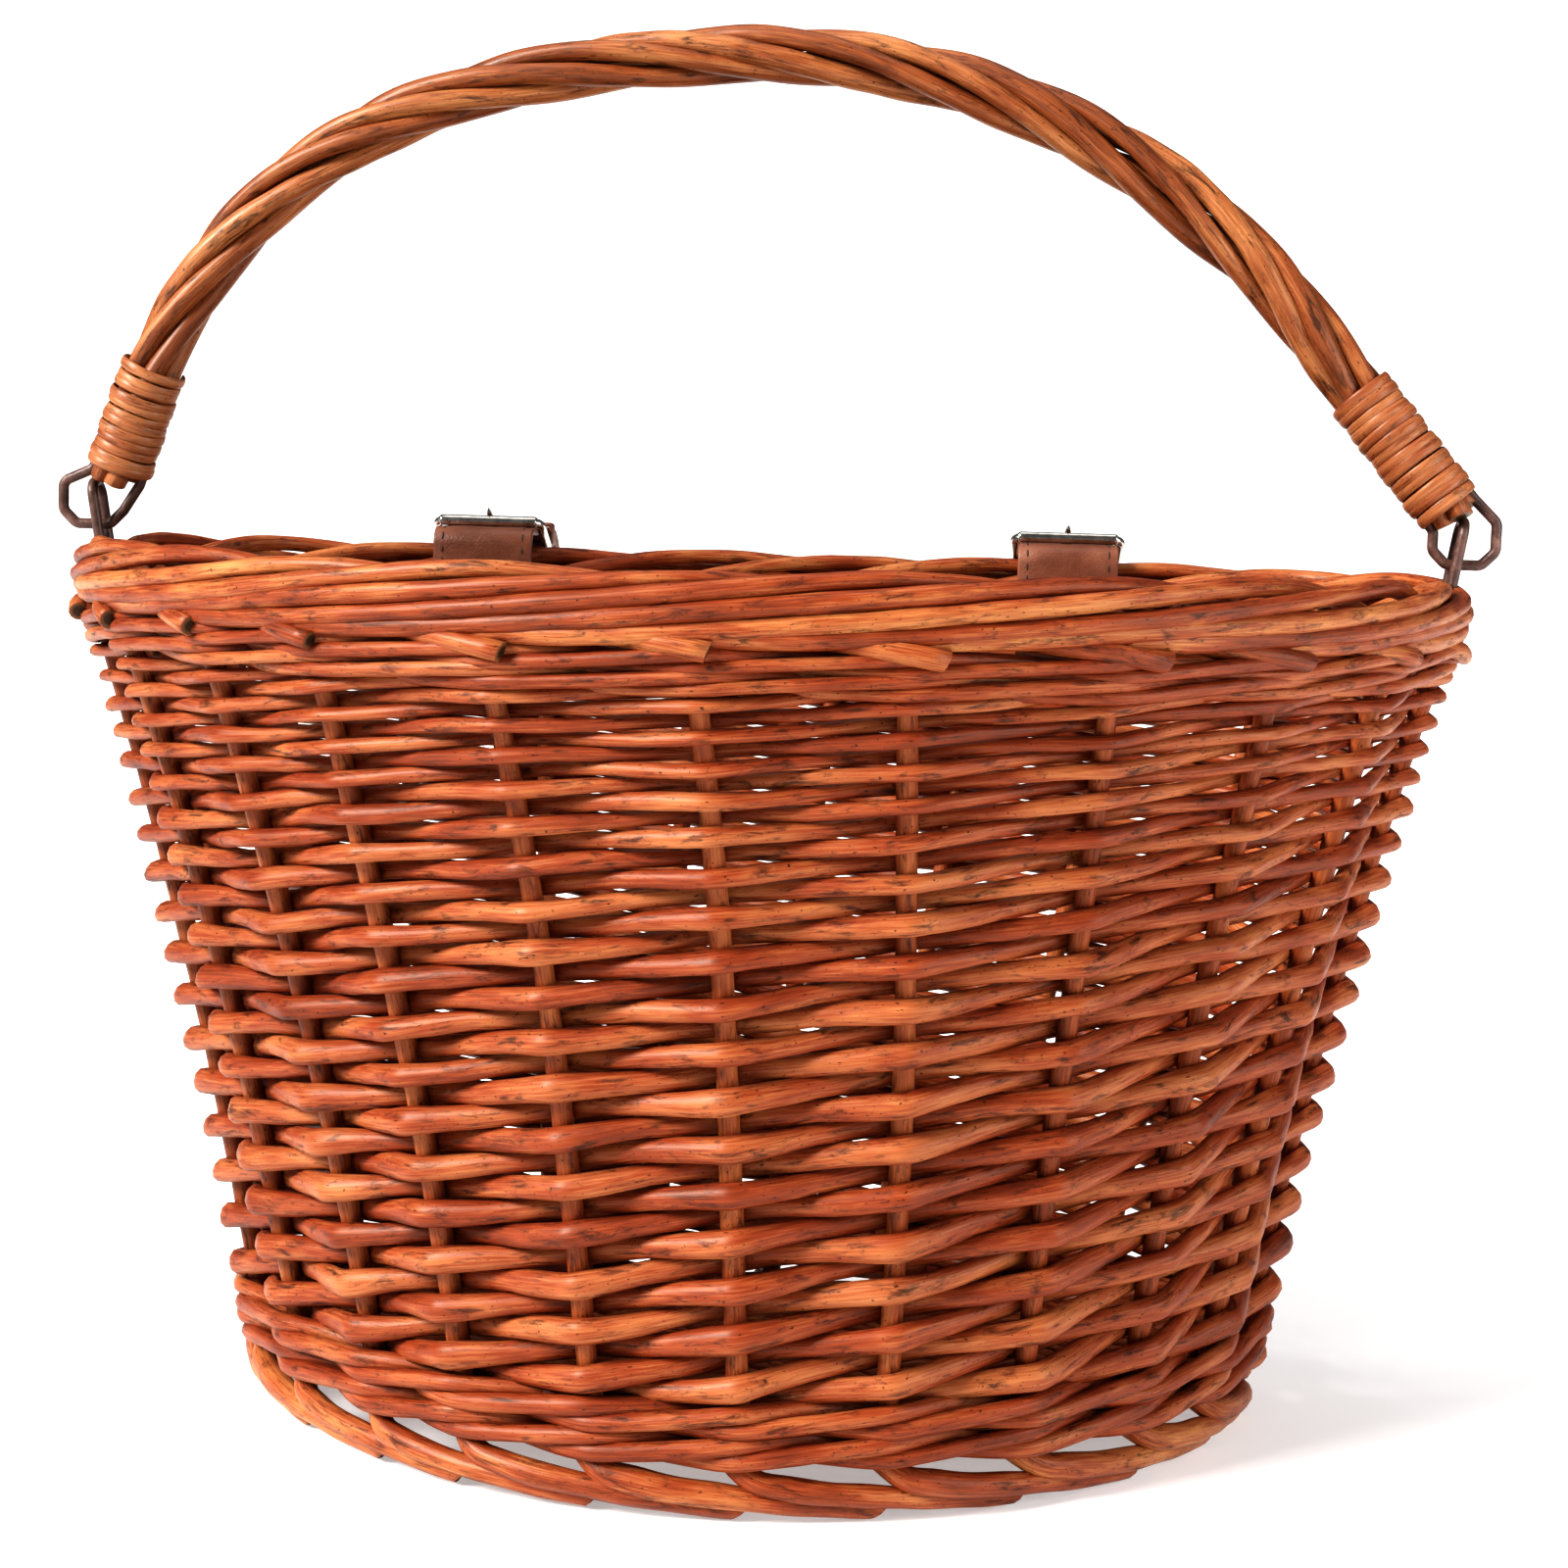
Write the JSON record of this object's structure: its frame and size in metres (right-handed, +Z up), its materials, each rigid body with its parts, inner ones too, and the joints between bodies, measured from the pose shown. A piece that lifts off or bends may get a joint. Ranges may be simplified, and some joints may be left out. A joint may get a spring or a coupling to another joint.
{
  "type": "handlebar basket",
  "caption": "D-shaped woven willow basket with a swinging bundled handle and buckled straps that hang it on a handlebar.",
  "frame": {"origin": "on the ground at the middle of the overall box", "axes": "+Z up, +X to the right seen from the basket's round front, +Y towards the handlebar"},
  "size_m": [0.3704, 0.2641, 0.3514],
  "materials": {
    "weave": "varnished willow, reddish brown",
    "stakes": "varnished willow, reddish brown",
    "border": "varnished willow, reddish brown",
    "handle": "varnished willow, golden brown",
    "binding": "varnished split cane",
    "wire": "dark brown plastic coat on steel wire",
    "strap": "taupe brown, stitched edges",
    "buckle": "plated, slightly dulled"
  },
  "bodies": {
    "basket": {"base_weave": "weave", "base_sticks": "stakes", "bottom_wale": "weave", "side_weave": "weave", "top_wale": "weave", "foot_border": "border", "top_border": "border", "side_stake_01": "stakes", "side_stake_02": "stakes", "side_stake_03": "stakes", "side_stake_04": "stakes", "side_stake_05": "stakes", "side_stake_06": "stakes", "side_stake_07": "stakes", "side_stake_08": "stakes", "side_stake_09": "stakes", "side_stake_10": "stakes", "side_stake_11": "stakes", "side_stake_12": "stakes", "side_stake_13": "stakes", "side_stake_14": "stakes", "side_stake_15": "stakes", "side_stake_16": "stakes", "side_stake_17": "stakes", "side_stake_18": "stakes", "side_stake_19": "stakes", "side_stake_20": "stakes", "side_stake_21": "stakes", "rim_eye_left": "wire", "rim_eye_right": "wire", "strap_left": "strap", "strap_right": "strap", "buckle_frame_left": "buckle", "buckle_frame_right": "buckle"},
    "handle": {"handle_rod_1": "handle", "handle_rod_2": "handle", "handle_rod_3": "handle", "handle_rod_4": "handle", "handle_rod_5": "handle", "handle_rod_6": "handle", "handle_core": "handle", "handle_binding_left": "binding", "handle_binding_right": "binding", "handle_ring_left": "wire", "handle_ring_right": "wire"},
    "prong_left": {"buckle_prong_left": "buckle"},
    "roller_left": {"buckle_roller_left": "buckle"},
    "keeper_left": {"strap_keeper_left": "strap"},
    "prong_right": {"buckle_prong_right": "buckle"},
    "roller_right": {"buckle_roller_right": "buckle"},
    "keeper_right": {"strap_keeper_right": "strap"}
  },
  "joints": [
    {"name": "handle_swing", "type": "hinge", "parent": "basket", "child": "handle", "pos_m": [0, 0.0195, 0.2227], "axis": [1, 0, 0], "range_deg": [-64, 64]},
    {"name": "prong_lift_left", "type": "hinge", "parent": "basket", "child": "prong_left", "pos_m": [-0.083, 0.0982, 0.21875], "axis": [-1, 0, 0], "range_deg": [0, 40]},
    {"name": "roller_spin_left", "type": "hinge", "parent": "basket", "child": "roller_left", "pos_m": [-0.083, 0.0827, 0.2258], "axis": [1, 0, 0], "continuous": true},
    {"name": "keeper_slide_left", "type": "slide", "parent": "basket", "child": "keeper_left", "axis": [0, 1, 0], "range_m": [0, 0.004]},
    {"name": "prong_lift_right", "type": "hinge", "parent": "basket", "child": "prong_right", "pos_m": [0.0784, 0.0982, 0.21875], "axis": [-1, 0, 0], "range_deg": [0, 40]},
    {"name": "roller_spin_right", "type": "hinge", "parent": "basket", "child": "roller_right", "pos_m": [0.0784, 0.0827, 0.2258], "axis": [1, 0, 0], "continuous": true},
    {"name": "keeper_slide_right", "type": "slide", "parent": "basket", "child": "keeper_right", "axis": [0, 1, 0], "range_m": [0, 0.004]}
  ]
}
